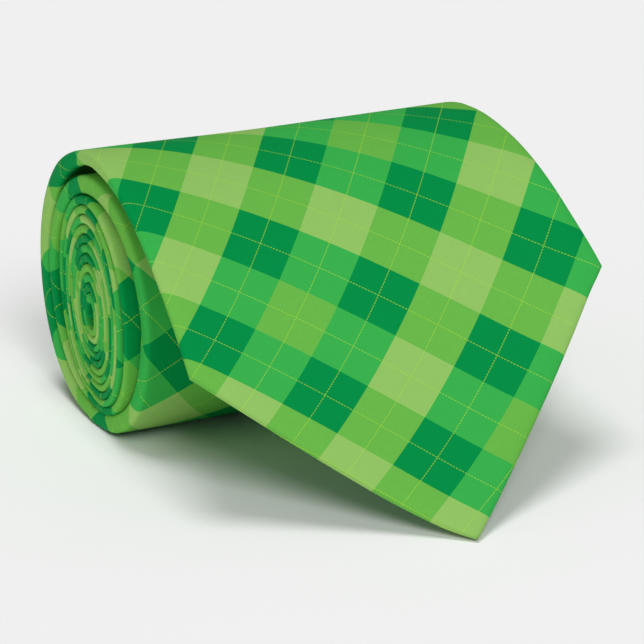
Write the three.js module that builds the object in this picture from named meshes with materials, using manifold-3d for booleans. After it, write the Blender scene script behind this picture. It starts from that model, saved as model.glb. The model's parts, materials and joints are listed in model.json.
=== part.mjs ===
// A printed necktie rolled up from its narrow end, its wide blade laid over the roll and down to the table.
// Millimetres, +Z up. The roll's axis runs along X, the blade falls towards -Y, the table is Z = 0.
import * as THREE from "three";
import { mergeVertices } from "three/addons/utils/BufferGeometryUtils.js";
import Module from "manifold-3d";

const wasm = await Module();
wasm.setup();

// The tie laid flat. s is the distance along it from the wide blade's point.
const TIE_LENGTH = 1397; // 55 in, the usual length of an adult tie
const BLADE_WIDTH = 101.6; // 4 in across the wide blade's shoulders
const TAPER = 0.072; // loss of width per length above the shoulders
const NECK_WIDTH = 38.1; // 1.5 in, the narrowest part
const TAIL_WIDTH = 42; // across the narrow blade's shoulders
const TIP_BLUNT = 1.6; // half width left at the turned points
const TAIL_BLUNT = 3;
const SHOULDER = BLADE_WIDTH / 2 - TIP_BLUNT; // the point is square, so the shoulders lie half a width up
const TAIL_POINT = TAIL_WIDTH / 2 - TAIL_BLUNT;

// The layers, as depths below the outer face.
const CLOTH = 0.4; // one ply of the shell
const FOLD = 0.6; // the shell's thickness at a folded side
const INTERLINING = [0.55, 1.2];
const TIPPING = [1.35, 1.5];
const THICKNESS = 2.05; // whole tie: face ply, interlining, lining and back ply
const BACK_PLY = THICKNESS - CLOTH;
const SEAM_GAP = 0.6; // half of the gap where the two back flaps meet

// The roll.
const TOP_RADIUS = 32.9; // outer face of the roll, under the point where the blade leaves it
const CORE_RADIUS = 3.6; // where the narrow end starts
const TURN_STEPS = 19; // an odd count puts a flat facet under the roll
const STEP = (2 * Math.PI) / TURN_STEPS;

// The blade in front: a gentle bend off the roll's top, then straight down to its point.
const BEND_RADIUS = 85;
const BEND_ANGLE = THREE.MathUtils.degToRad(42.5);
const BEND_STEPS = 7;
const TIP_HEIGHT = 1.6; // outer face above the table at the point

const bendLength = BEND_RADIUS * BEND_ANGLE;
const bendDrop = BEND_RADIUS * (1 - Math.cos(BEND_ANGLE));

// Pitch of the spiral, and the height of its centre over a flat facet on the table.
const PASSES = 8; // each pass brings pitch, height and flap length closer together
let pitch = 2.6;
let flapLength = 0;
let centreHeight = 0;
let topHeight = 0;
for (let pass = 0; pass < PASSES; pass++) {
  centreHeight = (TOP_RADIUS - pitch / 2) * Math.cos(STEP / 2);
  topHeight = centreHeight + TOP_RADIUS;
  const straight = (topHeight - TIP_HEIGHT - bendDrop) / Math.sin(BEND_ANGLE);
  flapLength = bendLength + straight;
  pitch = (Math.PI * (TOP_RADIUS ** 2 - CORE_RADIUS ** 2)) / (TIE_LENGTH - flapLength);
}

// Seams between the three lengths of shell.
const NECK_START = 680;
const TAIL_START = 1000;
const JOIN_GAP = 0.4; // half of the gap that holds a joining seam
const HINGE_GAP = 0.25; // half of the gap where the blade leaves the roll

function width(s) {
  const narrowing = Math.max(BLADE_WIDTH - TAPER * (s - SHOULDER), NECK_WIDTH);
  const blade = Math.min(2 * (s + TIP_BLUNT), narrowing);
  const toEnd = TIE_LENGTH - s;
  if (s < TAIL_START) return blade;
  const grown = ((TAIL_WIDTH - NECK_WIDTH) * (s - TAIL_START)) / (TIE_LENGTH - TAIL_POINT - TAIL_START);
  return Math.min(NECK_WIDTH + grown, 2 * (toEnd + TAIL_BLUNT));
}

// The roll's left end is flush, so the strip keeps its left edge there and narrows on the right.
const flushEdge = -width(flapLength) / 2;

function middle(s) {
  if (s <= flapLength) return 0;
  const toEnd = TIE_LENGTH - s;
  return flushEdge + (toEnd < TAIL_POINT ? TAIL_WIDTH : width(s)) / 2;
}

// Stations down the length: the outer face's place in the Y-Z plane and the inward direction.
function flapStations() {
  const list = [];
  const straight = flapLength - bendLength;
  const end = [-BEND_RADIUS * Math.sin(BEND_ANGLE), topHeight - bendDrop];
  const along = [-Math.cos(BEND_ANGLE), -Math.sin(BEND_ANGLE)];
  const inward = [Math.sin(BEND_ANGLE), -Math.cos(BEND_ANGLE)];
  const place = [end[0] + along[0] * straight, end[1] + along[1] * straight];
  list.push({ s: 0, y: place[0], z: place[1], ny: inward[0], nz: inward[1] });
  for (let i = BEND_STEPS; i >= 0; i--) {
    const a = (BEND_ANGLE * i) / BEND_STEPS;
    const s = flapLength - BEND_RADIUS * a;
    const y = -BEND_RADIUS * Math.sin(a);
    const z = topHeight - BEND_RADIUS * (1 - Math.cos(a));
    list.push({ s, y, z, ny: Math.sin(a), nz: -Math.cos(a) });
  }
  return list;
}

function rollStations() {
  const list = [];
  const turns = (TOP_RADIUS - CORE_RADIUS) / pitch;
  const last = Math.ceil(turns * TURN_STEPS) + 1;
  for (let k = 1; k <= last; k++) {
    const angle = k * STEP;
    const inTurn = k % TURN_STEPS;
    const underneath = inTurn === (TURN_STEPS - 1) / 2 || inTurn === (TURN_STEPS + 1) / 2;
    const turnStart = Math.floor(k / TURN_STEPS) * 2 * Math.PI;
    // Both ends of the facet underneath share one radius.
    const sweep = underneath ? turnStart + Math.PI : angle;
    const r = TOP_RADIUS - (pitch * sweep) / (2 * Math.PI);
    const s = flapLength + TOP_RADIUS * angle - (pitch * angle * angle) / (4 * Math.PI);
    const y = r * Math.sin(angle);
    const z = centreHeight + r * Math.cos(angle);
    list.push({ s, y, z, ny: -Math.sin(angle), nz: -Math.cos(angle) });
  }
  return list;
}

const stations = [...flapStations(), ...rollStations()];

function at(s) {
  let i = 1;
  while (i < stations.length - 1 && stations[i].s < s) i++;
  const a = stations[i - 1];
  const b = stations[i];
  const u = (s - a.s) / (b.s - a.s);
  const mix = (key) => a[key] + (b[key] - a[key]) * u;
  return { y: mix("y"), z: mix("z"), ny: mix("ny"), nz: mix("nz") };
}

const LEAST_STEP = 0.05; // stops closer together than this become one

// The stations and named stops between two distances.
function stops(from, to, extra = []) {
  const all = [...stations.map((p) => p.s), ...extra];
  const inside = all.filter((s) => s > from + LEAST_STEP && s < to - LEAST_STEP);
  const sorted = [from, ...inside, to].sort((p, q) => p - q);
  return sorted.filter((s, i) => i === 0 || s - sorted[i - 1] > LEAST_STEP);
}

// A closed body along the tie. section(s) gives the outline as [x, depth] pairs,
// the same number at every stop.
function sweep(from, to, section, extra) {
  const list = stops(from, to, extra);
  const outlines = list.map(section);
  const count = outlines[0].length;
  const positions = [];
  list.forEach((s, i) => {
    const p = at(s);
    for (const [x, depth] of outlines[i]) positions.push(x, p.y + p.ny * depth, p.z + p.nz * depth);
  });
  const index = [];
  for (let i = 0; i + 1 < list.length; i++) {
    for (let j = 0; j < count; j++) {
      const k = (j + 1) % count;
      const a = i * count + j;
      const b = i * count + k;
      const c = a + count;
      const d = b + count;
      index.push(a, b, c, b, d, c);
    }
  }
  const cap = (outline) => {
    const flat = outline.map(([x, depth]) => new THREE.Vector2(x, depth));
    return THREE.ShapeUtils.triangulateShape(flat, []);
  };
  for (const [a, b, c] of cap(outlines[0])) index.push(a, c, b);
  const base = (list.length - 1) * count;
  for (const [a, b, c] of cap(outlines[outlines.length - 1])) index.push(base + a, base + b, base + c);
  const geometry = new THREE.BufferGeometry();
  geometry.setAttribute("position", new THREE.Float32BufferAttribute(positions, 3));
  geometry.setIndex(index);
  return geometry;
}

// A plain strip: left(s) to right(s) across, near to far in depth.
function strip(from, to, left, right, near, far, extra) {
  const section = (s) => [
    [left(s), near],
    [right(s), near],
    [right(s), far],
    [left(s), far],
  ];
  return sweep(from, to, section, extra);
}

// The shell folded round its filling, open along the middle of its back by gap(s) each way.
function channel(from, to, gap, extra) {
  const section = (s) => {
    const left = middle(s) - width(s) / 2;
    const right = middle(s) + width(s) / 2;
    const openLeft = middle(s) - gap(s);
    const openRight = middle(s) + gap(s);
    return [
      [left, 0],
      [right, 0],
      [right, THICKNESS],
      [openRight, THICKNESS],
      [openRight, BACK_PLY],
      [right - FOLD, BACK_PLY],
      [right - FOLD, CLOTH],
      [left + FOLD, CLOTH],
      [left + FOLD, BACK_PLY],
      [openLeft, BACK_PLY],
      [openLeft, THICKNESS],
      [left, THICKNESS],
    ];
  };
  return sweep(from, to, section, extra);
}

function solid(geometry) {
  const merged = mergeVertices(geometry, 1e-4);
  const mesh = new wasm.Mesh({
    numProp: 3,
    vertProperties: merged.attributes.position.array,
    triVerts: new Uint32Array(merged.index.array),
  });
  return new wasm.Manifold(mesh);
}

function geometryOf(body) {
  const mesh = body.getMesh();
  const geometry = new THREE.BufferGeometry();
  geometry.setAttribute("position", new THREE.Float32BufferAttribute(mesh.vertProperties, 3));
  geometry.setIndex(Array.from(mesh.triVerts));
  return geometry;
}

const edges = (inset) => [
  (s) => middle(s) - width(s) / 2 + inset,
  (s) => middle(s) + width(s) / 2 - inset,
];

// Colours of the slots.
const COLOURS = {
  print: 0x4fb050,
  lining: 0x1f9a55,
  interlining: 0xe9e6da,
  thread: 0xb9d84a,
  label: 0xf2f2ee,
};

const group = new THREE.Group();

function add(name, slot, geometry) {
  const material = new THREE.MeshStandardMaterial({ color: COLOURS[slot], roughness: 0.8 });
  const mesh = new THREE.Mesh(geometry, material);
  mesh.name = name;
  group.add(mesh);
}

// The wide blade in front of the roll. Its back is open below the place where the two flaps meet.
const HEM = 16; // length of the turned hem above the point
const MEET = 82; // where the back flaps meet
const OPEN_WIDEST = 46;
const POCKET_START = 6;
const OVERSHOOT = 1; // a cutting body reaches this far past what it cuts

function backOpening(s) {
  if (s >= MEET) return SEAM_GAP;
  const rising = s - HEM + SEAM_GAP;
  const falling = SEAM_GAP + ((MEET - s) * (OPEN_WIDEST - HEM)) / (MEET - OPEN_WIDEST);
  return Math.max(SEAM_GAP, Math.min(rising, falling));
}

const pocketInset = (s) => Math.min(FOLD * Math.SQRT2, width(s) / 2 - SEAM_GAP);

function frontBladeFlap() {
  const end = flapLength - HINGE_GAP;
  const marks = [POCKET_START, HEM, OPEN_WIDEST, SHOULDER, MEET];
  const [left, right] = edges(0);
  const outer = solid(strip(0, end, left, right, 0, THICKNESS, marks));
  const pocketLeft = (s) => left(s) + pocketInset(s);
  const pocketRight = (s) => right(s) - pocketInset(s);
  const pocket = solid(strip(POCKET_START, end + OVERSHOOT, pocketLeft, pocketRight, CLOTH, BACK_PLY, marks));
  const openLeft = (s) => -backOpening(s);
  const near = BACK_PLY - CLOTH;
  const far = THICKNESS + OVERSHOOT;
  const opening = solid(strip(HEM, end + OVERSHOOT, openLeft, backOpening, near, far, marks));
  add("front_blade_flap", "print", geometryOf(outer.subtract(pocket).subtract(opening)));
}

function frontBladeRoll() {
  add("front_blade_roll", "print", channel(flapLength + HINGE_GAP, NECK_START - JOIN_GAP, () => SEAM_GAP));
}

function neckGusset() {
  const narrowest = SHOULDER + (BLADE_WIDTH - NECK_WIDTH) / TAPER;
  const start = NECK_START + JOIN_GAP;
  const end = TAIL_START - JOIN_GAP;
  add("neck_gusset", "print", channel(start, end, () => SEAM_GAP, [narrowest]));
}

// The narrow blade at the core, its back open near its point like the wide one's.
const TAIL_MEET = 40; // from its point
const TAIL_OPEN = 11; // half width of the opening at its widest

function tailOpening(s) {
  const toEnd = TIE_LENGTH - s;
  if (toEnd >= TAIL_MEET) return SEAM_GAP;
  const falling = SEAM_GAP + ((TAIL_MEET - toEnd) * TAIL_OPEN) / (TAIL_MEET - TAIL_POINT);
  return Math.max(SEAM_GAP, Math.min(falling, width(s) / 2 - 4 * FOLD));
}

const tailMarks = [TAIL_MEET, TAIL_POINT].map((d) => TIE_LENGTH - d);

function tailBlade() {
  add("tail_blade", "print", channel(TAIL_START + JOIN_GAP, TIE_LENGTH, tailOpening, tailMarks));
}

// Interlining: one length in the real tie, cut here where the blade leaves the roll.
const INTERLINING_INSET = 1.4;
const INTERLINING_START = 8; // from the wide point
const INTERLINING_END = 6; // from the narrow point

function interlining() {
  const [left, right] = edges(INTERLINING_INSET);
  const [near, far] = INTERLINING;
  const marks = [SHOULDER];
  const end = flapLength - HINGE_GAP;
  add("interlining_flap", "interlining", strip(INTERLINING_START, end, left, right, near, far, marks));
  const start = flapLength + HINGE_GAP;
  const tailEnd = TIE_LENGTH - INTERLINING_END;
  add("interlining_roll", "interlining", strip(start, tailEnd, left, right, near, far, tailMarks));
}

// Linings behind the two points, tucked under the turned edges.
const TIPPING_INSET = 2.2;
const TIPPING_START = 10; // from the wide point
const TIPPING_TUCK = 8; // how far each lining runs on under the closed back
const TAIL_TIPPING_START = 8; // from the narrow point

function tippings() {
  const [left, right] = edges(TIPPING_INSET);
  const [near, far] = TIPPING;
  const top = MEET + TIPPING_TUCK;
  add("front_tipping", "lining", strip(TIPPING_START, top, left, right, near, far, [SHOULDER]));
  const start = TIE_LENGTH - TAIL_MEET - TIPPING_TUCK;
  const end = TIE_LENGTH - TAIL_TIPPING_START;
  add("tail_tipping", "lining", strip(start, end, left, right, near, far, tailMarks));
}

// Thread along the back seam, lying between the two flaps.
const THREAD = 0.2; // half width
const THREAD_CLEAR = 0.05; // thread stays this far inside the ply it joins
const STITCH_CLEAR = 6; // from the place where the flaps meet to the first stitch

function slipStitch() {
  const left = (s) => middle(s) - THREAD;
  const right = (s) => middle(s) + THREAD;
  const near = BACK_PLY + THREAD_CLEAR;
  const far = THICKNESS - THREAD_CLEAR;
  const bottom = MEET + STITCH_CLEAR;
  add("slip_stitch_flap", "thread", strip(bottom, flapLength - HINGE_GAP, left, right, near, far));
  const top = TIE_LENGTH - TAIL_MEET - STITCH_CLEAR;
  add("slip_stitch_roll", "thread", strip(flapLength + HINGE_GAP, top, left, right, near, far));
}

const TACK_UP = 3; // past the place where the flaps meet
const TACK_LONG = 0.6; // half its size along the tie
const TACK_DEPTHS = [THICKNESS + 0.12, THICKNESS + 0.4];

// A bar of stitches over the back seam: `half` is its reach each way across the tie.
function barTack(name, s, half) {
  const left = () => middle(s) - half;
  const right = () => middle(s) + half;
  const [near, far] = TACK_DEPTHS;
  add(name, "thread", strip(s - TACK_LONG, s + TACK_LONG, left, right, near, far));
}

// The loose loop of slip-stitch thread, which lets the seam give.
function slackLoop() {
  const loopRadius = 3.2;
  const threadRadius = 0.22;
  const below = 5; // from the place where the flaps meet to the loop's middle
  const clear = 0.2; // over the lining
  const p = at(MEET - below);
  const depth = TIPPING[1] + threadRadius + clear;
  const geometry = new THREE.TorusGeometry(loopRadius, threadRadius, 6, 20);
  const inward = new THREE.Vector3(0, p.ny, p.nz).normalize();
  geometry.applyQuaternion(new THREE.Quaternion().setFromUnitVectors(new THREE.Vector3(0, 0, 1), inward));
  geometry.translate(0, p.y + p.ny * depth, p.z + p.nz * depth);
  add("slack_loop", "thread", geometry);
}

// Keeper loop, its tacks and the blank label, on the blade's back one turn down.
const BACKING = THICKNESS + 0.17; // clear of the back ply
const BACKING_FAR = BACKING + 0.2; // outer face of a sewn-on piece
const KEEPER_S = 190;
const KEEPER_LONG = 60; // across the tie
const KEEPER_WIDE = 14; // along the tie
const LABEL_S = 236;
const LABEL_SIZE = [48, 26]; // across, along
const CARE_S = TIE_LENGTH - 175;
const CARE_SIZE = [14, 22];
const KEEPER_TACK_SIZE = [1, KEEPER_WIDE - 4];
const KEEPER_TACK_OUT = KEEPER_LONG / 2 + 1; // from the tie's middle

function patch(name, slot, s, [across, along], offset = 0) {
  const left = (q) => middle(q) + offset - across / 2;
  const right = (q) => middle(q) + offset + across / 2;
  add(name, slot, strip(s - along / 2, s + along / 2, left, right, BACKING, BACKING_FAR));
}

function keeper() {
  patch("keeper_loop", "print", KEEPER_S, [KEEPER_LONG, KEEPER_WIDE]);
  patch("keeper_tack_left", "thread", KEEPER_S, KEEPER_TACK_SIZE, -KEEPER_TACK_OUT);
  patch("keeper_tack_right", "thread", KEEPER_S, KEEPER_TACK_SIZE, KEEPER_TACK_OUT);
}

function labels() {
  patch("blank_label", "label", LABEL_S, LABEL_SIZE);
  patch("care_tag", "label", CARE_S, CARE_SIZE);
}

// The two seams that join the lengths of shell.
function joiningSeam(name, s) {
  const [left, right] = edges(FOLD);
  add(name, "thread", strip(s - THREAD / 2, s + THREAD / 2, left, right, THREAD_CLEAR, CLOTH - THREAD_CLEAR));
}

frontBladeFlap();
frontBladeRoll();
neckGusset();
tailBlade();
interlining();
tippings();
slipStitch();
barTack("front_bar_tack", MEET + TACK_UP, 5);
barTack("tail_bar_tack", TIE_LENGTH - TAIL_MEET - TACK_UP, 3.5);
slackLoop();
keeper();
labels();
joiningSeam("blade_neck_seam", NECK_START);
joiningSeam("neck_tail_seam", TAIL_START);

// The origin: the middle of the whole tie's box, on the table.
const box = new THREE.Box3().setFromObject(group);
const shift = [-(box.min.x + box.max.x) / 2, -(box.min.y + box.max.y) / 2, -box.min.z];
for (const mesh of group.children) mesh.geometry.translate(...shift);

export default group;
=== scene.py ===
"""A rolled necktie, its wide blade laid over the roll. Every layer is cloth and stands for a CAD solid.

Lengths are in millimetres up to the point where a mesh is made. s is the distance along the tie from
the wide blade's point, x runs across it, and depth goes inwards from the face of the cloth.
"""

import json
import math

import bpy
import numpy as np
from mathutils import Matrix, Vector


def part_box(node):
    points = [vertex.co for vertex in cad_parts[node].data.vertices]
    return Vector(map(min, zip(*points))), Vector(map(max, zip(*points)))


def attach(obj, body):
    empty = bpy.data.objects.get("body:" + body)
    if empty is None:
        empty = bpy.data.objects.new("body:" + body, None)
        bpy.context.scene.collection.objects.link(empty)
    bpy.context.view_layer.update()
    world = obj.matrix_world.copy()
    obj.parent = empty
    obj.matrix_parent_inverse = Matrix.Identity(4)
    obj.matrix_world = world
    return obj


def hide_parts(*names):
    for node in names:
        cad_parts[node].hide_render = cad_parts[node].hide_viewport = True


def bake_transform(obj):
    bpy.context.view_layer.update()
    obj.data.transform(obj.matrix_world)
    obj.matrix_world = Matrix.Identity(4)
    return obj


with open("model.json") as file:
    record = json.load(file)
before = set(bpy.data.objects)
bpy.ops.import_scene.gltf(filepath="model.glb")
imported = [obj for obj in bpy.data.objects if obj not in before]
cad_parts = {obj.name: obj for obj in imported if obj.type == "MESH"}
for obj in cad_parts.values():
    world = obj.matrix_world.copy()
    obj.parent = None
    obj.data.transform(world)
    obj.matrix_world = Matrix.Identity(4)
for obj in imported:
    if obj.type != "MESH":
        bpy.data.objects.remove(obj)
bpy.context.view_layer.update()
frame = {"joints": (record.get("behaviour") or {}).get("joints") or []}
MM = 0.001

# ---------------------------------------------------------------- sizes: the flat tie is the CAD model's

hinge = [v / MM for v in frame["joints"][0]["pos_m"]]
ROLL_Y = hinge[1]
TOP_Z = hinge[2]
flap_low, flap_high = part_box("front_blade_flap")
BLADE_WIDTH = (flap_high.x - flap_low.x) / MM
TIE_LENGTH = 1397.0
TAPER = 0.072
NECK_WIDTH = 38.1
TAIL_WIDTH = 42.0
TIP_BLUNT = 1.6
TAIL_BLUNT = 3.0
SHOULDER = BLADE_WIDTH / 2 - TIP_BLUNT
TAIL_POINT = TAIL_WIDTH / 2 - TAIL_BLUNT
NECK_START = 680.0
TAIL_START = 1000.0
TOP_RADIUS = 32.9
CORE_RADIUS = 2.2  # the narrow end starts closer in than in the CAD model
ROLL_Z = TOP_Z - TOP_RADIUS

# The layers: whole thickness away from the folds, cloth of the shell, and what lies between. The whole is a
# little thinner than the CAD model's, because the folds at its sides are thicker here.
THICKNESS = 1.85
CLOTH = 0.42
INTERLINING = (0.75, 0.5)  # depth of its middle, thickness
TIPPING = (1.2, 0.22)
SEAM_GAP = 0.12  # half the gap that the slip stitch closes
JOIN_GAP = 0.08  # half the gap where two lengths of shell are joined
HEM = 16.0
MEET = 82.0
OPEN_WIDEST = 46.0
TAIL_MEET = 40.0
TAIL_OPEN = 11.0
KEEPER_S = 190.0
KEEPER_SIZE = (60, 14)  # across the tie, along it
LABEL_S = 236.0
LABEL_SIZE = (48, 26)
CARE_S = TIE_LENGTH - 175
CARE_SIZE = (14, 22)

# ---------------------------------------------------------------- the blade in front, seen from its side

FLAP = 120.6  # s where the blade leaves the roll's top
FLAP_WHOLE = FLAP + TIP_BLUNT  # from the sharp point
STEEPEST_AT = 0.83  # share of the flap's length, from the roll, where it is steepest
STEEPENING = 2.3
TIP_EASE = math.radians(11.6)  # the point lies flatter than the slope above it
TIP_EASE_SHARE = 1 / 6
TIP_Z = 1.15  # outer face over the table at the point

# Lift of the flap away from a plain bend; each fades from the point to the roll.
LEAN = 0.153
RIGHT_CURL = 5.8
LEFT_CURL = 6.56
RIGHT_PUSH = 3.9
CORNER_LIFT = 2.1
RIGHT_BULGE = 1.1  # the point's right edge bows outwards
RIGHT_EAR = 0.5  # and its corner stands out
EAR_FROM = 0.9  # share of the slanted edge where that begins
EAR_END = 70  # s where it has gone again
EAR_FADE = 20  # length over which it goes
NEAR_HALF = 50.0  # about half the blade's width, to which curls and lean are measured
CORNER_FROM = NEAR_HALF / 2


def ease(v):
    v = np.clip(v, 0, 1)
    return v * v * (3 - 2 * v)


def slope(steepest, u):
    """Slope of the flap at share u of its length from the roll's top."""
    rise = 1 - (1 - np.minimum(1, u / STEEPEST_AT)) ** STEEPENING
    return steepest * rise - TIP_EASE * np.clip((u - 1 + TIP_EASE_SHARE) / TIP_EASE_SHARE, 0, 1)


def flap_profile():
    """s, y and z of the flap's outer face, from the point to the roll's top, with its point at TIP_Z."""
    step = 0.2
    halvings = 40
    away = np.arange(0, FLAP_WHOLE + step, step)
    low, high = math.radians(20), math.radians(70)
    for _ in range(halvings):
        steepest = (low + high) / 2
        angle = slope(steepest, away / FLAP_WHOLE)
        drop = np.concatenate([[0], np.cumsum(np.sin(angle[:-1]) * step)])
        if TOP_Z - drop[-1] > TIP_Z:
            low = steepest
        else:
            high = steepest
    run = np.concatenate([[0], np.cumsum(np.cos(angle[:-1]) * step)])
    return (FLAP - away)[::-1], (ROLL_Y - run)[::-1], (TOP_Z - drop)[::-1]


# ---------------------------------------------------------------- the roll, seen from its end

LOOSE_PITCH = 4.9  # the outer turns are wound loosely
LOOSE_RADIUS = 24.5  # and inside this radius they are tight
LOOSE_LENGTH = math.pi * (TOP_RADIUS**2 - LOOSE_RADIUS**2) / LOOSE_PITCH
TIGHT_LENGTH = TIE_LENGTH - FLAP - LOOSE_LENGTH
TIGHT_PITCH = math.pi * (LOOSE_RADIUS**2 - CORE_RADIUS**2) / TIGHT_LENGTH
SINK = 4.8  # how far the inner turns have settled
FRONT_SQUEEZE = 0.98
BACK_SQUEEZE = 0.972
SQUEEZE_LOST = 0.8  # share of the front squeeze that is undone underneath
FRONT_FULL = 0.06  # the lower half is this much wider in front, before the table flattens it
FULL_RATE = 1.4  # and is so from 1 / 1.4 of the way down
FLATTENING = 50  # sharpness of the flat under the roll
CLOSED_IN = 2.15  # makes up for how far the outer turn has closed in before it meets the table


def settle(y, z):
    """The plane of a true spiral, pressed into the roll's real outline.

    y and z are measured from the roll's centre.
    """
    reach = np.hypot(y, z) / TOP_RADIUS
    down = np.clip(-z / (reach * TOP_RADIUS), 0, 1)
    full = 1 + np.where(y < 0, FRONT_FULL, 0) * ease(down * FULL_RATE)
    limit = (ROLL_Z + CLOSED_IN) / (TOP_RADIUS * full)
    flat = (1 + (down / limit) ** FLATTENING) ** (-1 / FLATTENING)
    front_squeeze = FRONT_SQUEEZE + (1 - FRONT_SQUEEZE) * SQUEEZE_LOST * ease(down)
    squeeze = np.where(y > 0, BACK_SQUEEZE, front_squeeze)
    y = y * full * flat * squeeze
    z = z * full * flat - SINK * (1 - reach) + ROLL_Z
    return y + ROLL_Y, z


def radius(angle):
    """Radius of the spiral: it closes in quickly over the loose turns, then slowly."""
    turns = angle / (2 * math.pi)
    loose = (TOP_RADIUS - LOOSE_RADIUS) / LOOSE_PITCH
    return TOP_RADIUS - LOOSE_PITCH * np.minimum(turns, loose) - TIGHT_PITCH * np.maximum(turns - loose, 0)


def roll_profile():
    """s, y and z of the roll's outer face, the room from there to the next turn, and the angle wound."""
    angle_step = 0.004
    smallest_radius = 0.1
    tight = (LOOSE_RADIUS - CORE_RADIUS) / TIGHT_PITCH
    end_angle = 2 * math.pi * ((TOP_RADIUS - LOOSE_RADIUS) / LOOSE_PITCH + tight)
    angle = np.arange(0, end_angle, angle_step)
    r = radius(angle)
    y, z = settle(r * np.sin(angle), r * np.cos(angle))
    s = FLAP + np.concatenate([[0], np.cumsum(np.hypot(np.diff(y), np.diff(z)))])
    r_in = np.maximum(radius(angle + 2 * math.pi), smallest_radius)
    y_in, z_in = settle(r_in * np.sin(angle), r_in * np.cos(angle))
    room = np.hypot(y - y_in, z - z_in)
    return s, y, z, room, angle


roll_s, roll_y, roll_z, roll_room, roll_angle = roll_profile()
flap_s, flap_y, flap_z = flap_profile()
stretch = (TIE_LENGTH - FLAP) / (roll_s[-1] - FLAP)  # the settled spiral is as long as the tie
roll_s = FLAP + (roll_s - FLAP) * stretch
path_s = np.concatenate([flap_s[:-1], roll_s])
path_y = np.concatenate([flap_y[:-1], roll_y])
path_z = np.concatenate([flap_z[:-1], roll_z])


def turn_angle(s):
    return np.interp(s, roll_s, roll_angle, left=0)


def room(s):
    """Room for the strip between one turn and the next."""
    return np.interp(s, roll_s, roll_room)


def width(s):
    s = np.asarray(s, float)
    narrowing = np.maximum(BLADE_WIDTH - TAPER * (s - SHOULDER), NECK_WIDTH)
    blade = np.minimum(2 * (s + TIP_BLUNT), narrowing)
    to_end = TIE_LENGTH - s
    grown = (TAIL_WIDTH - NECK_WIDTH) * (s - TAIL_START) / (TIE_LENGTH - TAIL_POINT - TAIL_START)
    tail = np.minimum(NECK_WIDTH + grown, 2 * (to_end + TAIL_BLUNT))
    return np.where(s < TAIL_START, blade, tail)


END_PLACE = -49.4  # x of the roll's left end
END_TILT = 0.09  # the inner turns stand out in front and in at the back
TILT_FROM, TILT_OVER = 3, 8  # quarter turns from the roll's top
FIRST_WANDER = (0, 0, -0.5, 2.3, 0.9, 0)  # the outer turn's edge at each quarter turn
FLUSH_OVER = 20  # length over which the strip moves from the flap's middle to the flush end
LEFT_SWELL = 0.8  # the roll is fatter at its left end
SWELL_FROM = 10  # height over the table where that is whole


def middle(s):
    """x of the strip's middle: centred in the flap, then flush at the roll's left end."""
    s = np.asarray(s, float)
    wide = np.where(TIE_LENGTH - s < TAIL_POINT, TAIL_WIDTH, width(s))
    quarter = turn_angle(s) / (math.pi / 2)
    off_centre = np.interp(s, path_s, path_y) - ROLL_Y
    wander = END_TILT * off_centre * ease((quarter - TILT_FROM) / TILT_OVER)
    wander = wander + np.interp(quarter, range(len(FIRST_WANDER)), FIRST_WANDER)
    flush = END_PLACE + wide / 2 + wander
    return np.where(s <= FLAP, 0, flush * ease((s - FLAP) / FLUSH_OVER))


def base(s, x):
    """The outer face at distance s and place x across, as an array of points."""
    s, x = np.broadcast_arrays(np.asarray(s, float), np.asarray(x, float))
    y = np.interp(s, path_s, path_y)
    z = np.interp(s, path_s, path_z)
    free = np.clip(1 - (s + TIP_BLUNT) / FLAP_WHOLE, 0, 1.02)
    side = x / NEAR_HALF
    past_half = np.clip((x - CORNER_FROM) / CORNER_FROM, 0, 2) ** 2
    corner = past_half * np.clip((x + s + TIP_BLUNT - NEAR_HALF) / NEAR_HALF, 0, 1)
    swell = LEFT_SWELL * ease(-side) * (1 - ease(free * 3)) / TOP_RADIUS
    out_y = swell * (y - ROLL_Y) * (free == 0)
    out_z = swell * (z - ROLL_Z) * ease(z / SWELL_FROM)
    z = z + free * (LEAN * x + np.where(x > 0, RIGHT_CURL, LEFT_CURL) * side**2 + CORNER_LIFT * corner)
    y = y + free * np.where(x > 0, RIGHT_PUSH, 0) * side**2
    share = np.clip((s + TIP_BLUNT) / (BLADE_WIDTH / 2), 0, 1)
    ear = ease((share - EAR_FROM) / (1 - EAR_FROM)) * ease((EAR_END - s) / EAR_FADE)
    bow = RIGHT_BULGE * np.sin(math.pi * share) + RIGHT_EAR * ear
    bowed = x + bow * np.clip(x / (0.5 * np.asarray(width(s)) + 0.1), 0, 1) ** 3
    return np.stack([bowed, y + out_y, z + out_z], -1)


def place(s, x, depth):
    """Points at a depth inwards from the face."""
    s, x, depth = np.broadcast_arrays(*(np.asarray(v, float) for v in (s, x, depth)))
    reach = 0.7  # the face's slope is taken over this distance each way
    along = base(s + reach, x) - base(s - reach, x)
    across = base(s, x + reach) - base(s, x - reach)
    inward = np.cross(along, across)
    inward /= np.linalg.norm(inward, axis=-1, keepdims=True)
    return base(s, x) + inward * depth[..., None]


# ---------------------------------------------------------------- the printed check

CHECK = 13.8  # side of one square
CHECK_START = 1.1  # from the sharp point to the corner of the first square

# The print's slow wander over the flap, a plain second-degree curve in each direction.
DRIFT_UNIT = 8  # half diagonals of a square that q and p count as 1, and the wander's scale in mm
DRIFT_ALONG = (0.57, -0.48, 1.24, 3.39, -1.05)  # for q, p, q squared, q times p, p squared
DRIFT_ACROSS = (0.06, 0.68, -0.8, -0.31, 0.17)
Q_RANGE = (-0.6, 1.1)  # beyond these the wander stays as it is
P_RANGE = (-0.75, 0.75)


def drift(q, p):
    """How far the printed squares wander along and across from a true bias grid, in mm."""
    q = np.clip(q, *Q_RANGE)
    p = np.clip(p, *P_RANGE)
    terms = (q, p, q * q, q * p, p * p)
    along = DRIFT_UNIT * sum(k * term for k, term in zip(DRIFT_ALONG, terms))
    across = DRIFT_UNIT * sum(k * term for k, term in zip(DRIFT_ACROSS, terms))
    return along, across


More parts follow.
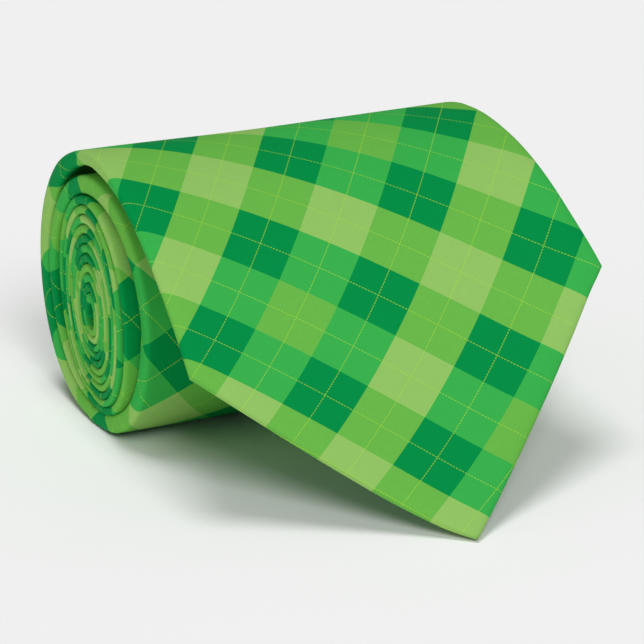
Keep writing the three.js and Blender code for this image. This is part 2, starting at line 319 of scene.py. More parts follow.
# On the roll the print runs on at a slightly different slant. It is set from one corner of a dark square
# under the flap's left edge, as squares at (s, t) and squares per millimetre along and across.
CORNER_AT = (264.8, -44.5)
CORNER_SQUARES = (15.62, 10.5)
ALONG_RATE = (0.0561, 0.0457)
ACROSS_RATE = (-0.0296, 0.0574)
TURN_FROM, TURN_OVER = 128.0, 110.0  # where the one slant gives way to the other, behind the roll
PRINT_PASSES = 14  # each pass takes the wander at a better estimate of the place


def print_place(s, t):
    """The two coordinates of the print, in squares, at distance s and t across the cut cloth."""
    s, t = np.broadcast_arrays(np.asarray(s, float), np.asarray(t, float))
    sharp = s + TIP_BLUNT
    unit = CHECK / math.sqrt(2)
    total = (sharp - CHECK_START) / unit
    lean = t / unit
    for _ in range(PRINT_PASSES):
        along, across = drift(total / DRIFT_UNIT - 0.5, lean / DRIFT_UNIT)
        total = 0.5 * total + 0.5 * (sharp - CHECK_START - along) / unit
        lean = 0.5 * lean + 0.5 * (t - across) / unit
    later = ease((s - TURN_FROM) / TURN_OVER)
    flap_squares = ((total - lean) / 2, (total + lean) / 2)
    mixed = []
    for k in (0, 1):
        far = s - CORNER_AT[0]
        side = t - CORNER_AT[1]
        on_roll = CORNER_SQUARES[k] + ALONG_RATE[k] * far + ACROSS_RATE[k] * side
        mixed.append(flap_squares[k] + later * (on_roll - flap_squares[k]))
    return mixed[0], mixed[1]


# ---------------------------------------------------------------- making cloth

TIE = bpy.data.collections.new("tie")
STAGE = bpy.data.collections.new("stage")


def make_object(name, points, faces, uv=None, flat_caps=0):
    """An object from points in mm; the last faces, its cut ends, are shaded flat."""
    mesh = bpy.data.meshes.new(name)
    mesh.from_pydata([tuple(p * MM) for p in points], [], faces)
    if uv is not None:
        layer = mesh.uv_layers.new(name="cloth")
        layer.data.foreach_set("uv", np.asarray(uv, np.float32).ravel())
    smooth = np.arange(len(mesh.polygons)) < len(mesh.polygons) - flat_caps
    mesh.polygons.foreach_set("use_smooth", smooth)
    mesh.update()
    if volume(points, faces) < 0:
        mesh.flip_normals()
    obj = bpy.data.objects.new(name, mesh)
    bpy.context.scene.collection.objects.link(obj)
    TIE.objects.link(obj)
    return obj


def volume(points, faces):
    """Signed volume in cubic millimetres; negative if the faces point inwards."""
    total = 0.0
    pts = np.asarray(points)
    for f in faces:
        a = pts[f[0]]
        for i in range(1, len(f) - 1):
            total += float(np.dot(a, np.cross(pts[f[i]], pts[f[i + 1]])))
    return total / 6


def thicken(x, depth, thick):
    """Both sides of a centreline in the section: the side towards the face side first."""
    dx = np.gradient(x)
    dd = np.gradient(depth)
    size = np.hypot(dx, dd)
    nx, nd = -dd / size, dx / size
    half = thick / 2
    one = np.stack([x + nx * half, depth + nd * half], -1)
    two = np.stack([x - nx * half, depth - nd * half], -1)
    return one, two


def cloth(name, stations, section, thick, mitre=False):
    """A closed sheet along the tie.

    section(s) gives, for each point of its centreline, x from the middle, depth, and the distance from the
    middle of the cloth laid flat. With mitre, the cloth turned back at the point takes its print from
    further down the slanted edge that it is folded over.
    """
    rings, prints, turned = [], [], []
    for s in stations:
        x, depth, flat = section(float(s))
        one, two = thicken(x, depth, thick(float(s)) if callable(thick) else thick)
        ring = np.concatenate([one, two[::-1]])
        rings.append(place(s, middle(s) + ring[:, 0], ring[:, 1]))
        flat = np.concatenate([flat, flat[::-1]])
        prints.append(np.stack(print_place(s, flat), -1))
        half = float(width(s)) / 2
        over = np.abs(flat) - half
        turned_print = print_place(s - np.maximum(over, 0), np.clip(flat, -half, half))
        turned.append(np.stack(turned_print, -1))
    count = len(rings[0])
    half_count = count // 2
    points = np.concatenate(rings)
    faces, uv = [], []
    for i in range(len(stations) - 1):
        source = turned if mitre and stations[i] < SHOULDER - 0.01 else prints
        low, high = source[i], source[i + 1]
        for j in range(count):
            k = (j + 1) % count
            faces.append((i * count + j, i * count + k, (i + 1) * count + k, (i + 1) * count + j))
            uv += [low[j], low[k], high[k], high[j]]
    for end, flip in ((0, False), (len(stations) - 1, True)):
        source = turned[end] if mitre and end == 0 else prints[end]
        for j in range(half_count - 1):
            ids = [j, count - 1 - j, count - 2 - j, j + 1]
            if flip:
                ids = ids[::-1]
            faces.append(tuple(end * count + v for v in ids))
            uv += [source[v] for v in ids]
    return make_object(name, points, faces, uv, 2 * (half_count - 1))


FOLD_REACH = 1.7  # how far in from the edge a fold is rounded, on the roll
FOLD_BOX = 0.55  # 1 is a round fold, 0 a square one
SOFT_REACH = 2.8  # on the flap the folds are softer and rounder
SOFT_BOX = 0.85
SOFT_EDGE = 2.7  # thickness over the flap's folds
START_EDGE = 3.5  # and where the roll begins, before they fill the room between the turns
SOFT_FACE = 2.1  # on the flap a fold's face side is rounded from this many times further in
CLEAR_OF_FOLD = 3.4  # from a fold to whatever lies inside it, on the flap
CLEAR_IN_ROLL = 0.6
WIDEST_FOLD = 0.275  # of the strip's width
WIDEST_FACE_FOLD = 0.8  # of half the strip's width
SOFT_FADE = 25  # length over which the flap's soft folds give way to the roll's
FOLD_FILL = 0.97  # share of the room between turns that a fold fills
MIDDLE_FILL = 0.8  # and the middle may fill
LATE_FILL = 6  # past the roll's top the folds thicken only after this length
FILL_RATE = 0.08  # and then by this much for each millimetre
POINT_THICKNESS = 0.35  # share of the thickness left at the two points
TIP_GROWTH, TAIL_GROWTH = 9, 12  # slopes from there to the whole thickness
BACK_SWELL = 7.0  # width over which the back flap rises to the fold
WIDE_COUNTS = (22, 15, 13)  # points across half the face, round a fold, and across a back flap
NARROW_COUNTS = (15, 11, 9)


def on_flap(s):
    """1 on the free flap, fading to 0 where the roll begins."""
    return float(ease((FLAP - s) / SOFT_FADE))


def fold_reach(s):
    """How far in from the edge the back side of a fold is rounded."""
    slanted = math.sqrt(2) if s < SHOULDER else 1
    wanted = FOLD_REACH + (SOFT_REACH - FOLD_REACH) * on_flap(s)
    return min(wanted * slanted, WIDEST_FOLD * float(width(s)))


def inside(s):
    """Half width of whatever lies inside the folded shell."""
    clear = CLEAR_IN_ROLL + (CLEAR_OF_FOLD - CLEAR_IN_ROLL) * on_flap(s)
    return float(width(s)) / 2 - fold_reach(s) - clear


def depth_here(s):
    """Whole thickness of the strip in its middle and at its folded edges."""
    near_tip = min(1.0, POINT_THICKNESS + (s + TIP_BLUNT) / TIP_GROWTH)
    near_end = min(1.0, POINT_THICKNESS + (TIE_LENGTH - s + TAIL_BLUNT) / TAIL_GROWTH)
    if s <= FLAP:
        soft = SOFT_EDGE + (FOLD_FILL * START_EDGE - SOFT_EDGE) * (1 - on_flap(s))
        return THICKNESS * near_tip, soft * near_tip
    gap = min(float(room(s)), START_EDGE + max(s - FLAP - LATE_FILL, 0) * FILL_RATE)
    return min(THICKNESS, MIDDLE_FILL * gap) * near_end, FOLD_FILL * gap * near_end


def folded(s, opening, counts=WIDE_COUNTS):
    """Centreline of the shell's section: back flap, fold, face, fold, back flap.

    Its third part is the distance from the middle of the flat cloth, with the rounding's extra length left
    out so that the print on the face keeps its place.
    """
    face_count, fold_count, back_count = counts
    half = float(width(s)) / 2
    mid, edge = depth_here(s)
    reach = fold_reach(s)
    box = FOLD_BOX + (SOFT_BOX - FOLD_BOX) * on_flap(s)
    face_reach = min(reach * (1 + (SOFT_FACE - 1) * on_flap(s)), WIDEST_FACE_FOLD * half)
    skin = CLOTH / 2
    straight = half - reach
    lip = min(opening + skin, straight - 0.05)
    back_x = lip + (straight - lip) * np.linspace(0, 1, back_count, endpoint=False)
    swell = ease(1 - (straight - back_x) / BACK_SWELL)
    back_depth = mid - skin + (edge - mid) * swell
    turn = np.linspace(math.pi / 2, -math.pi / 2, fold_count)
    side_reach = np.where(turn > 0, reach, face_reach)
    fold_x = half - side_reach + (side_reach - skin) * np.abs(np.cos(turn)) ** box
    bulge = np.sign(turn) * np.abs(np.sin(turn)) ** box
    fold_depth = edge / 2 + (edge / 2 - skin) * bulge
    face_x = (half - face_reach) * np.linspace(1, 0, face_count)[1:]
    face_depth = np.full_like(face_x, skin)
    x = np.concatenate([back_x, fold_x, face_x])
    depth = np.concatenate([back_depth, fold_depth, face_depth])
    x = np.concatenate([x, -x[-2::-1]])
    depth = np.concatenate([depth, depth[-2::-1]])
    middle_point = len(x) // 2
    travelled = np.concatenate([[0], np.cumsum(np.hypot(np.diff(x), np.diff(depth)))])
    flat = travelled[middle_point] - travelled
    spare = flat[back_count + fold_count - 1] - (half - face_reach)
    return x, depth, flat - spare * np.sign(flat) * (np.abs(flat) > 0)


def back_opening(s):
    if s >= MEET:
        return SEAM_GAP
    rising = s - HEM + SEAM_GAP
    falling = SEAM_GAP + (MEET - s) * (OPEN_WIDEST - HEM) / (MEET - OPEN_WIDEST)
    return max(SEAM_GAP, min(rising, falling))


def tail_opening(s):
    to_end = TIE_LENGTH - s
    if to_end >= TAIL_MEET:
        return SEAM_GAP
    falling = SEAM_GAP + (TAIL_MEET - to_end) * TAIL_OPEN / (TAIL_MEET - TAIL_POINT)
    return max(SEAM_GAP, min(falling, float(width(s)) / 2 - 3))


def spaced(start, end, step, marks=()):
    """Even stations from start to end, with each mark in between as a station of its own."""
    count = max(2, int(round((end - start) / step)) + 1)
    plain = np.linspace(start, end, count)
    keep = [v for v in plain if all(abs(v - m) > step / 3 for m in marks)]
    return np.array(sorted(set([start, end, *keep, *[m for m in marks if start < m < end]])))


def flat_strip(left, right, depth, count):
    """Centreline of a plain ribbon: left(s) to right(s) from the middle, at one depth."""

    def section(s):
        x = np.linspace(right(s), left(s), count)
        level = depth(s) if callable(depth) else depth
        return x, np.full_like(x, level), x

    return section


def inner_scale(s):
    """How much thinner the filling is where the turns leave less room."""
    return depth_here(s)[0] / THICKNESS


# ---------------------------------------------------------------- thread


def tube(name, centre, radius, sides=6):
    """A closed tube along points."""
    centre = np.asarray(centre, float)
    tangent = np.gradient(centre, axis=0)
    tangent /= np.linalg.norm(tangent, axis=1, keepdims=True)
    side = np.cross(tangent, (0.3, 0.2, 1.0))
    side /= np.linalg.norm(side, axis=1, keepdims=True)
    other = np.cross(tangent, side)
    turn = np.linspace(0, 2 * math.pi, sides, endpoint=False)
    ring = np.cos(turn)[None, :, None] * side[:, None] + np.sin(turn)[None, :, None] * other[:, None]
    points = (centre[:, None] + radius * ring).reshape(-1, 3)
    faces = []
    for i in range(len(centre) - 1):
        for j in range(sides):
            k = (j + 1) % sides
            faces.append((i * sides + j, i * sides + k, (i + 1) * sides + k, (i + 1) * sides + j))
    faces.append(tuple(range(sides))[::-1])
    last = (len(centre) - 1) * sides
    faces.append(tuple(last + j for j in range(sides)))
    return points, faces


def join_tubes(name, parts):
    """One object from several tubes."""
    points, faces = [], []
    start = 0
    for p, f in parts:
        points.append(p)
        faces += [tuple(v + start for v in face) for face in f]
        start += len(p)
    return make_object(name, np.concatenate(points), faces)


# ---------------------------------------------------------------- the pieces

FLAP_CUT = FLAP + 88  # the flap's cloth runs on over the roll's back; the next length starts underneath
FLAP_BEGIN = -1.2  # s of the turned point's edge
CUT_ZONE = 4  # length beside the cut that is laid in fine steps
FLAP_STEP, CUT_STEP, TURN_STEP, NECK_STEP, TAIL_STEP = 1.5, 0.5, 2.4, 2.2, 1.9


def front_blade():
    marks = (HEM, OPEN_WIDEST, SHOULDER, MEET)
    stations = spaced(FLAP_BEGIN, FLAP_CUT - CUT_ZONE, FLAP_STEP, marks)
    stations = np.concatenate([stations, spaced(FLAP_CUT - CUT_ZONE, FLAP_CUT, CUT_STEP)[1:]])
    flap = cloth("front_blade_cloth", stations, lambda s: folded(s, back_opening(s)), CLOTH, mitre=True)
    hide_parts("front_blade_flap")
    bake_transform(flap)
    near = spaced(FLAP_CUT, FLAP_CUT + CUT_ZONE, CUT_STEP)
    rest = spaced(FLAP_CUT + CUT_ZONE, NECK_START - JOIN_GAP, TURN_STEP)
    stations = np.concatenate([near, rest[1:]])
    turns = cloth("front_blade_turns", stations, lambda s: folded(s, SEAM_GAP), CLOTH)
    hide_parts("front_blade_roll")
    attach(turns, "roll")
    return [flap, turns]


def neck():
    stations = spaced(NECK_START + JOIN_GAP, TAIL_START - JOIN_GAP, NECK_STEP)
    obj = cloth("neck_cloth", stations, lambda s: folded(s, SEAM_GAP, NARROW_COUNTS), CLOTH)
    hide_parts("neck_gusset")
    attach(obj, "roll")
    return [obj]


def tail():
    marks = (TIE_LENGTH - TAIL_MEET, TIE_LENGTH - TAIL_POINT)
    stations = spaced(TAIL_START + JOIN_GAP, TIE_LENGTH, TAIL_STEP, marks)
    obj = cloth("tail_cloth", stations, lambda s: folded(s, tail_opening(s), NARROW_COUNTS), CLOTH)
    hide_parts("tail_blade")
    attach(obj, "roll")
    return [obj]


INTERLINING_ENDS = 8  # from either point to the interlining
INTERLINING_GAP = 0.3  # between its two lengths


def interlining():
    level = lambda s: INTERLINING[0] * inner_scale(s)
    section = flat_strip(lambda s: -inside(s), inside, level, 21)
    stations = spaced(INTERLINING_ENDS, FLAP_CUT, 2.5, (SHOULDER,))
    flap = cloth("interlining_front", stations, section, INTERLINING[1])
    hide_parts("interlining_flap")
    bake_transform(flap)
    section = flat_strip(lambda s: -inside(s), inside, level, 9)
    stations = spaced(FLAP_CUT + INTERLINING_GAP, TIE_LENGTH - INTERLINING_ENDS, 2.6)
    turns = cloth("interlining_turns", stations, section, lambda s: INTERLINING[1] * inner_scale(s))
    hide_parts("interlining_roll")
    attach(turns, "roll")
    return [flap, turns]


TIPPING_START, TAIL_TIPPING_START = 10, 9  # from the two points
TIPPING_TUCK = 8  # how far the tippings run on under the closed back
TAIL_TIPPING_THICK = 0.15


def tippings():
    section = flat_strip(lambda s: -inside(s), inside, TIPPING[0], 25)
    stations = spaced(TIPPING_START, MEET + TIPPING_TUCK, 2, (SHOULDER,))
    front = cloth("front_tipping_cloth", stations, section, TIPPING[1])
    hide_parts("front_tipping")
    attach(front, "flap")
    section = flat_strip(lambda s: -inside(s), inside, lambda s: TIPPING[0] * inner_scale(s), 9)
    start = TIE_LENGTH - TAIL_MEET - TIPPING_TUCK
    stations = spaced(start, TIE_LENGTH - TAIL_TIPPING_START, 1.5)
    tail_piece = cloth("tail_tipping_cloth", stations, section, TAIL_TIPPING_THICK)
    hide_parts("tail_tipping")
    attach(tail_piece, "roll")
    return [front, tail_piece]


STITCH = 5.0  # one slip stitch
STITCH_REACH = 0.45  # to either side of the seam
STITCH_RISE = 0.05
STITCH_DEPTH = 0.02  # the thread's middle lies this far under the back's outer face
FIRST_STITCH = 6  # from where the back flaps meet
STITCH_CLEAR = (8, 1)  # from the hinge, on the flap and on the roll
THREAD_RADIUS = 0.14


def slip_stitch():
    """The thread that closes the back seam, crossing from one flap's edge to the other at each stitch."""
    made = []
    last = TIE_LENGTH - TAIL_MEET - FIRST_STITCH
    spans = (
        ("slip_stitch_front", MEET + FIRST_STITCH, FLAP - STITCH_CLEAR[0], "flap", "slip_stitch_flap"),
        ("slip_stitch_turns", FLAP + STITCH_CLEAR[1], last, "roll", "slip_stitch_roll"),
    )
    for name, start, end, body, node in spans:
        s = np.arange(start, end, STITCH / 8)
        x = middle(s) + STITCH_REACH * np.sin(s * 2 * math.pi / STITCH)
        depth = np.array([depth_here(float(v))[0] for v in s])
        lift = STITCH_RISE * np.cos(s * 4 * math.pi / STITCH) - STITCH_DEPTH
        obj = join_tubes(name, [tube(name, place(s, x, depth + lift), THREAD_RADIUS)])
        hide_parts(node)
        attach(obj, body)
        made.append(obj)
    return made


TACK_SPREAD = 0.55  # half the bar's size along the tie
TACK_ROWS = 5  # threads laid across the seam
TACK_BINDINGS = 9  # threads wound over them
TACK_UP = 3  # from where the back flaps meet


def tack(name, node, s, half, body):
    """A bar tack: threads laid side by side across the seam, bound by others that dip into the cloth."""
    parts = []
    depth = depth_here(s)[0]
    for here in np.linspace(s - TACK_SPREAD, s + TACK_SPREAD, TACK_ROWS):
        across = np.linspace(-half, half, 15)
        rise = 0.12 * (1 - (across / half) ** 6) + 0.02
        line = place(np.full_like(across, here), middle(here) + across, depth + rise)
        parts.append(tube(name, line, THREAD_RADIUS))
    over = TACK_SPREAD + 0.25
    for turn in np.linspace(-half * 0.85, half * 0.85, TACK_BINDINGS):
        along = np.linspace(s - over, s + over, 7)
        rise = 0.3 * np.cos((along - s) / over * math.pi / 2) + 0.03
        parts.append(tube(name, place(along, middle(s) + turn, depth + rise), THREAD_RADIUS))
    obj = join_tubes(name, parts)
    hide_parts(node)
    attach(obj, body)
    return obj


def slack_loop():
    """The spare loop of slip-stitch thread below the bar tack."""
    half_long, half_wide = 3.0, 2.4
    below = 4.4  # from where the back flaps meet to the loop's middle
    lowest = 1.5  # depth, clear of the tipping
    turn = np.linspace(math.radians(100), math.radians(440), 40)
    s = MEET - below + half_long * np.sin(turn)
    x = half_wide * np.cos(turn) * (1 + 0.15 * np.sin(turn))
    depth = lowest + 0.12 * (1 + np.sin(2 * turn))
    obj = join_tubes("slack_thread_loop", [tube("loop", place(s, x, depth), 0.18, 8)])
    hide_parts("slack_loop")
    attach(obj, "flap")
    return obj


PATCH_THICK = 0.16
PATCH_LIFT = 0.14  # from the back's outer face to the patch's middle


def patch(name, node, s, size):
    """A flat piece sewn to the back: the keeper, the label or the tag."""
    across, along = size
    level = lambda q: depth_here(q)[0] + PATCH_LIFT
    section = flat_strip(lambda q: -across / 2, lambda q: across / 2, level, 17)
    obj = cloth(name, spaced(s - along / 2, s + along / 2, 1.2), section, PATCH_THICK)
    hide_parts(node)
    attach(obj, "roll")
    return obj


def side_tack(name, node, side):
    """A short row of stitches that holds one end of the keeper."""
    x = side * (KEEPER_SIZE[0] / 2 + 1)
    half_row = KEEPER_SIZE[1] / 2 - 2.5
    reach = 1.1
    parts = []
    for s in np.linspace(KEEPER_S - half_row, KEEPER_S + half_row, 10):
        across = np.linspace(-reach, reach, 7)
        rise = 0.3 * np.cos(across / reach * math.pi / 2) + 0.02
        depth = depth_here(float(s))[0]
        line = place(np.full_like(across, s), middle(s) + x + across, depth + rise)
        parts.append(tube(name, line, 0.12))
    obj = join_tubes(name, parts)
    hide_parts(node)
    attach(obj, "roll")
    return obj


def joining_seam(name, node, s):
    """The machine seam where two lengths of shell meet: small stitches that bridge the gap."""
    half = float(width(s)) / 2 - FOLD_REACH
    reach = 0.9  # to either side of the seam
    spacing = 1.6
    parts = []
    for x in np.arange(-half, half, spacing):
        along = np.linspace(s - reach, s + reach, 7)
        dip = CLOTH / 2 + 0.26 - 0.12 * np.cos((along - s) / reach * math.pi / 2)
        parts.append(tube(name, place(along, middle(s) + x, dip), 0.1, 5))
    obj = join_tubes(name, parts)
    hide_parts(node)
    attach(obj, "roll")
    return obj


# ---------------------------------------------------------------- materials


def srgb(r, g, b):
    def linear(v):
        v /= 255
        return v / 12.92 if v <= 0.04045 else ((v + 0.055) / 1.055) ** 2.4

    return (linear(r), linear(g), linear(b), 1)


class Nodes:
    """A short way to write a material's nodes."""

    def __init__(self, name):
        self.material = bpy.data.materials.new(name)
        self.material.use_nodes = True
        self.tree = self.material.node_tree
        self.shader = self.tree.nodes["Principled BSDF"]

    def link(self, value, socket):
        if isinstance(value, bpy.types.NodeSocket):
            self.tree.links.new(value, socket)
        else:
            socket.default_value = value

    def math(self, operation, a, b=0.0, c=0.0):
        node = self.tree.nodes.new("ShaderNodeMath")
        node.operation = operation
        for value, socket in zip((a, b, c), node.inputs):
            self.link(value, socket)
        return node.outputs[0]

    def uv(self):
        node = self.tree.nodes.new("ShaderNodeUVMap")
        node.uv_map = "cloth"
        parts = self.tree.nodes.new("ShaderNodeSeparateXYZ")
        self.tree.links.new(node.outputs[0], parts.inputs[0])
        return node.outputs[0], parts.outputs[0], parts.outputs[1]

    def place(self):
        return self.tree.nodes.new("ShaderNodeTexCoord").outputs["Object"]

    def steps(self, value, stops):
        """A ramp of flat colours: stops are (position, colour)."""
        node = self.tree.nodes.new("ShaderNodeValToRGB")
        node.color_ramp.interpolation = "CONSTANT"
        ramp = node.color_ramp.elements
        while len(ramp) < len(stops):
            ramp.new(1.0)
        for element, (position, colour) in zip(ramp, stops):
            element.position = position
            element.color = colour
        self.link(value, node.inputs[0])
        return node.outputs[0]

    def mix(self, factor, a, b, blend="MIX"):
        node = self.tree.nodes.new("ShaderNodeMix")
        node.data_type = "RGBA"
        node.blend_type = blend
        self.link(factor, node.inputs[0])
        self.link(a, node.inputs[6])
        self.link(b, node.inputs[7])
        return node.outputs[2]

    def noise(self, vector, scale, detail=2.0):
        node = self.tree.nodes.new("ShaderNodeTexNoise")
        self.link(vector, node.inputs["Vector"])
        node.inputs["Scale"].default_value = scale
        node.inputs["Detail"].default_value = detail
        return node.outputs[0]

    def bump(self, height, strength, distance):
        node = self.tree.nodes.new("ShaderNodeBump")
        node.inputs["Strength"].default_value = strength
        node.inputs["Distance"].default_value = distance
        self.link(height, node.inputs["Height"])
        self.tree.links.new(node.outputs[0], self.shader.inputs["Normal"])

    def set(self, **values):
        for name, value in values.items():
            self.link(value, self.shader.inputs[name.replace("_", " ")])


DARK = srgb(2, 143, 70)
MEDIUM = srgb(58, 178, 78)
LIGHT = srgb(106, 185, 74)
PALE = srgb(147, 197, 101)
STITCH_YELLOW = srgb(172, 222, 62)
COLUMN_START = 0.38
ROW_START = 0.5
LINE_HALF = 0.0062  # half the dashed line's width, in squares
DASH = 0.052  # one dash and its gap
DASH_SHARE = 0.66  # of that, the dash
LINE_STRENGTH = 0.66  # how much of the line's own yellow shows
THREAD_PITCH = 0.30  # warp and weft, in mm


def grey(v):
    return (v, v, v, 1)


def print_cloth():
    n = Nodes("print_cloth")
    uv, u, v = n.uv()
    column = n.math("ADD", u, COLUMN_START)
    row = n.math("ADD", v, ROW_START)
    column_tone = n.steps(
        n.math("FRACT", n.math("DIVIDE", column, 4.0)),
        [(0, grey(0.25)), (0.25, grey(0)), (0.5, grey(0.5)), (0.75, grey(0))],
    )
    row_tone = n.steps(
        n.math("FRACT", n.math("DIVIDE", row, 4.0)),
        [(0, grey(0.5)), (0.25, grey(0)), (0.5, grey(0.25)), (0.75, grey(0))],
    )
    tone = n.math("ADD", column_tone, row_tone)
    # A square's colour follows from the sum of its column's tone and its row's.
    colour = n.steps(tone, [(0, DARK), (0.125, MEDIUM), (0.375, LIGHT), (0.625, PALE)])

    def dashed(along, over):
        away = n.math("ABSOLUTE", n.math("SUBTRACT", n.math("FRACT", along), 0.5))
        line = n.math("LESS_THAN", away, LINE_HALF)
        dash = n.math("LESS_THAN", n.math("FRACT", n.math("DIVIDE", over, DASH)), DASH_SHARE)
        return n.math("MULTIPLY", line, dash)

    lines = n.math("MAXIMUM", dashed(column, row), dashed(row, column))
    colour = n.mix(n.math("MULTIPLY", lines, LINE_STRENGTH), colour, STITCH_YELLOW)
    # The weave: warp over weft, too fine to read as threads except close up.
    rate = 2 * math.pi * CHECK / THREAD_PITCH
    warp = n.math("SINE", n.math("MULTIPLY", u, rate))
    twill = n.math("SINE", n.math("MULTIPLY", n.math("ADD", u, v), rate / 2))
    weave = n.math("MULTIPLY_ADD", n.math("MULTIPLY", warp, twill), 0.5, 0.5)
    slubs = n.noise(uv, 9.0, 4.0)
    shade = n.math("MULTIPLY_ADD", slubs, 0.07, 0.955)
    shade = n.math("MULTIPLY_ADD", weave, 0.02, shade)
    colour = n.mix(1.0, colour, shade, "MULTIPLY")
    n.set(Base_Color=colour, Roughness=n.math("MULTIPLY_ADD", slubs, 0.12, 0.56))
    n.set(Specular_IOR_Level=0.02)
    n.bump(n.math("MULTIPLY_ADD", slubs, 0.5, weave), 0.25, 0.00006)
    return n.material


def plain_weave(name, colour, darker, pitch, roughness, sheen, strength):
    n = Nodes(name)
    uv, u, v = n.uv()
    rate = 2 * math.pi * CHECK / pitch
    warp = n.math("SINE", n.math("MULTIPLY", u, rate))
    weft = n.math("SINE", n.math("MULTIPLY", v, rate))
    weave = n.math("MULTIPLY_ADD", n.math("MULTIPLY", warp, weft), 0.5, 0.5)
    cloudy = n.noise(uv, 3.0, 5.0)
    n.set(Base_Color=n.mix(n.math("MULTIPLY", weave, cloudy), colour, darker))
    n.set(Roughness=n.math("MULTIPLY_ADD", cloudy, 0.15, roughness - 0.07))
    n.set(Sheen_Weight=sheen, Specular_IOR_Level=0.08)
    n.bump(n.math("MULTIPLY_ADD", cloudy, 0.6, weave), strength, 0.00008)
    return n.material


def thread_material():
    n = Nodes("thread")
    place_at = n.place()
    parts = n.tree.nodes.new("ShaderNodeSeparateXYZ")
    n.tree.links.new(place_at, parts.inputs[0])
    slant = n.math("ADD", n.math("ADD", parts.outputs[0], parts.outputs[1]), parts.outputs[2])
    ply = n.math("SINE", n.math("MULTIPLY", slant, 2 * math.pi / 0.0004))
    twist = n.math("MULTIPLY_ADD", ply, 0.5, 0.5)
    n.set(Base_Color=n.mix(twist, srgb(170, 214, 92), srgb(120, 170, 60)), Roughness=0.6)
    n.set(Sheen_Weight=0.3, Specular_IOR_Level=0.3)
    n.bump(twist, 0.5, 0.00005)
    return n.material


def floor_material():
    n = Nodes("floor")
    mottle = n.noise(n.place(), 3.0, 2.0)
    n.set(Base_Color=n.mix(mottle, grey(0.80), grey(0.81)), Roughness=0.9, Specular_IOR_Level=0.1)
    return n.material


# ---------------------------------------------------------------- floor, light and camera


def floor():
    size = 6.0
    corners = [(-size, -size, 0), (size, -size, 0), (size, size, 0), (-size, size, 0)]
    mesh = bpy.data.meshes.new("floor")
    mesh.from_pydata(corners, [], [(0, 1, 2, 3)])
    obj = bpy.data.objects.new("floor", mesh)
    bpy.context.scene.collection.objects.link(obj)
    obj.data.materials.append(floor_material())
    STAGE.objects.link(obj)


def place_light(data, place_at, target, receiver):
    """A lamp at place_at, turned to the target, that lights one collection only."""
    obj = bpy.data.objects.new(data.name, data)
    obj.location = place_at
    toward = Vector(target) - Vector(place_at)
    obj.rotation_euler = toward.to_track_quat("-Z", "Y").to_euler()
    bpy.context.scene.collection.objects.link(obj)
    obj.light_linking.receiver_collection = receiver


def sky_light(name, place_at, spread, strength):
    """Light on the floor from far away, so that the floor is equally bright all over."""
    data = bpy.data.lights.new(name, "SUN")
    data.angle = spread
    data.energy = strength
    place_light(data, place_at, (0, 0, 0), STAGE)


def tie_light(name, place_at, size, power):
    data = bpy.data.lights.new(name, "AREA")
    data.shape = "DISK"
    data.size = size
    data.energy = power
    place_light(data, place_at, (0, 0, 0.03), TIE)


def lights():
    """Soft light from all round.

    The floor and the tie have lamps of their own, so that the tie is evenly lit and the floor keeps its
    shadow.
    """
    world = bpy.data.worlds.new("studio")
    world.use_nodes = True
    world.node_tree.nodes["Background"].inputs[0].default_value = (1, 1, 1, 1)
    world.node_tree.nodes["Background"].inputs[1].default_value = 0.27
    bpy.context.scene.world = world
    sky_light("floor_top", (-0.1, 0.1, 1.4), math.radians(24), 1.5)
    sky_light("floor_front", (-0.2, -1.1, 0.9), math.radians(24), 1.73)
    tie_light("tie_front", (0.1, -0.45, 1.15), 0.7, 8.5)
    tie_light("tie_left", (-1.0, -0.5, 0.4), 0.7, 3.6)


AZIMUTH = math.radians(-24.775)
ELEVATION = math.radians(20.388)
DISTANCE = 1000.0
SENSOR = 36.0
LENS = 245.9
AIM = (0, 0, 32.0)
SHIFT_RIGHT, SHIFT_UP = 5.797, 3.217


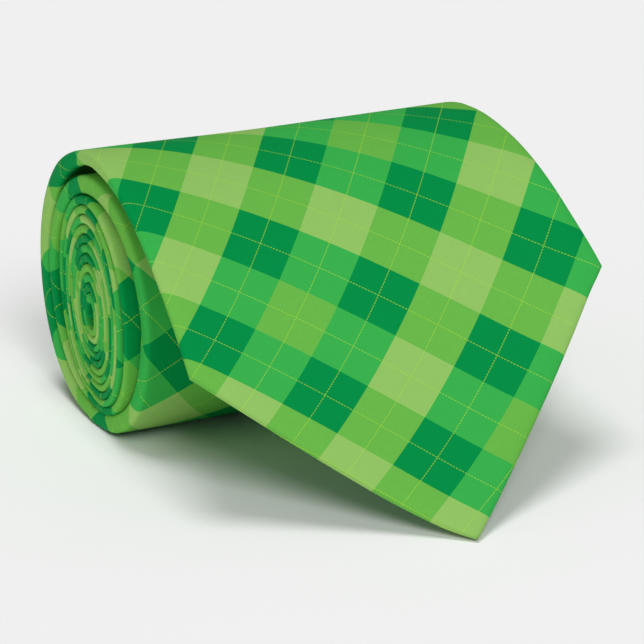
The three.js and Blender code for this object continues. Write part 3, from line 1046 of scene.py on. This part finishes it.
def camera():
    data = bpy.data.cameras.new("camera")
    data.sensor_width = SENSOR
    data.lens = LENS
    data.clip_end = 20
    obj = bpy.data.objects.new("camera", data)
    level = math.cos(ELEVATION)
    back = Vector((math.sin(AZIMUTH) * level, -math.cos(AZIMUTH) * level, math.sin(ELEVATION)))
    right = (-back).cross(Vector((0, 0, 1))).normalized()
    up = right.cross(-back)
    obj.location = (Vector(AIM) + DISTANCE * back - SHIFT_RIGHT * right - SHIFT_UP * up) * MM
    obj.rotation_mode = "QUATERNION"
    obj.rotation_quaternion = (-back).to_track_quat("-Z", "Y")
    bpy.context.scene.collection.objects.link(obj)
    bpy.context.scene.camera = obj


# ---------------------------------------------------------------- building it

camera()
floor()
lights()
bpy.context.scene.view_settings.view_transform = "Standard"

PRINT = print_cloth()
LINING = plain_weave("tipping_cloth", srgb(24, 148, 82), srgb(12, 118, 62), 0.25, 0.6, 0.02, 0.2)
WOOL = plain_weave("interlining_cloth", srgb(236, 232, 220), srgb(205, 200, 184), 0.9, 0.9, 0.5, 0.6)
LABEL = plain_weave("label_cloth", srgb(243, 242, 236), srgb(222, 220, 212), 0.3, 0.45, 0.1, 0.3)
THREAD = thread_material()


def finish_with(material, objects):
    for obj in objects:
        obj.data.materials.clear()
        obj.data.materials.append(material)


finish_with(PRINT, front_blade() + neck() + tail())
finish_with(WOOL, interlining())
finish_with(LINING, tippings())
finish_with(THREAD, slip_stitch())
tail_tack_s = TIE_LENGTH - TAIL_MEET - TACK_UP
finish_with(THREAD, [tack("front_bar_tack_threads", "front_bar_tack", MEET + TACK_UP, 5.0, "flap")])
finish_with(THREAD, [tack("tail_bar_tack_threads", "tail_bar_tack", tail_tack_s, 3.5, "roll")])
finish_with(THREAD, [slack_loop()])
keeper = patch("keeper_cloth", "keeper_loop", KEEPER_S, KEEPER_SIZE)
finish_with(PRINT, [keeper])
finish_with(THREAD, [side_tack("keeper_stitches_left", "keeper_tack_left", -1)])
finish_with(THREAD, [side_tack("keeper_stitches_right", "keeper_tack_right", 1)])
label = patch("blank_label_cloth", "blank_label", LABEL_S, LABEL_SIZE)
care_tag = patch("care_tag_cloth", "care_tag", CARE_S, CARE_SIZE)
finish_with(LABEL, [label, care_tag])
finish_with(THREAD, [joining_seam("blade_neck_stitches", "blade_neck_seam", NECK_START)])
finish_with(THREAD, [joining_seam("neck_tail_stitches", "neck_tail_seam", TAIL_START)])
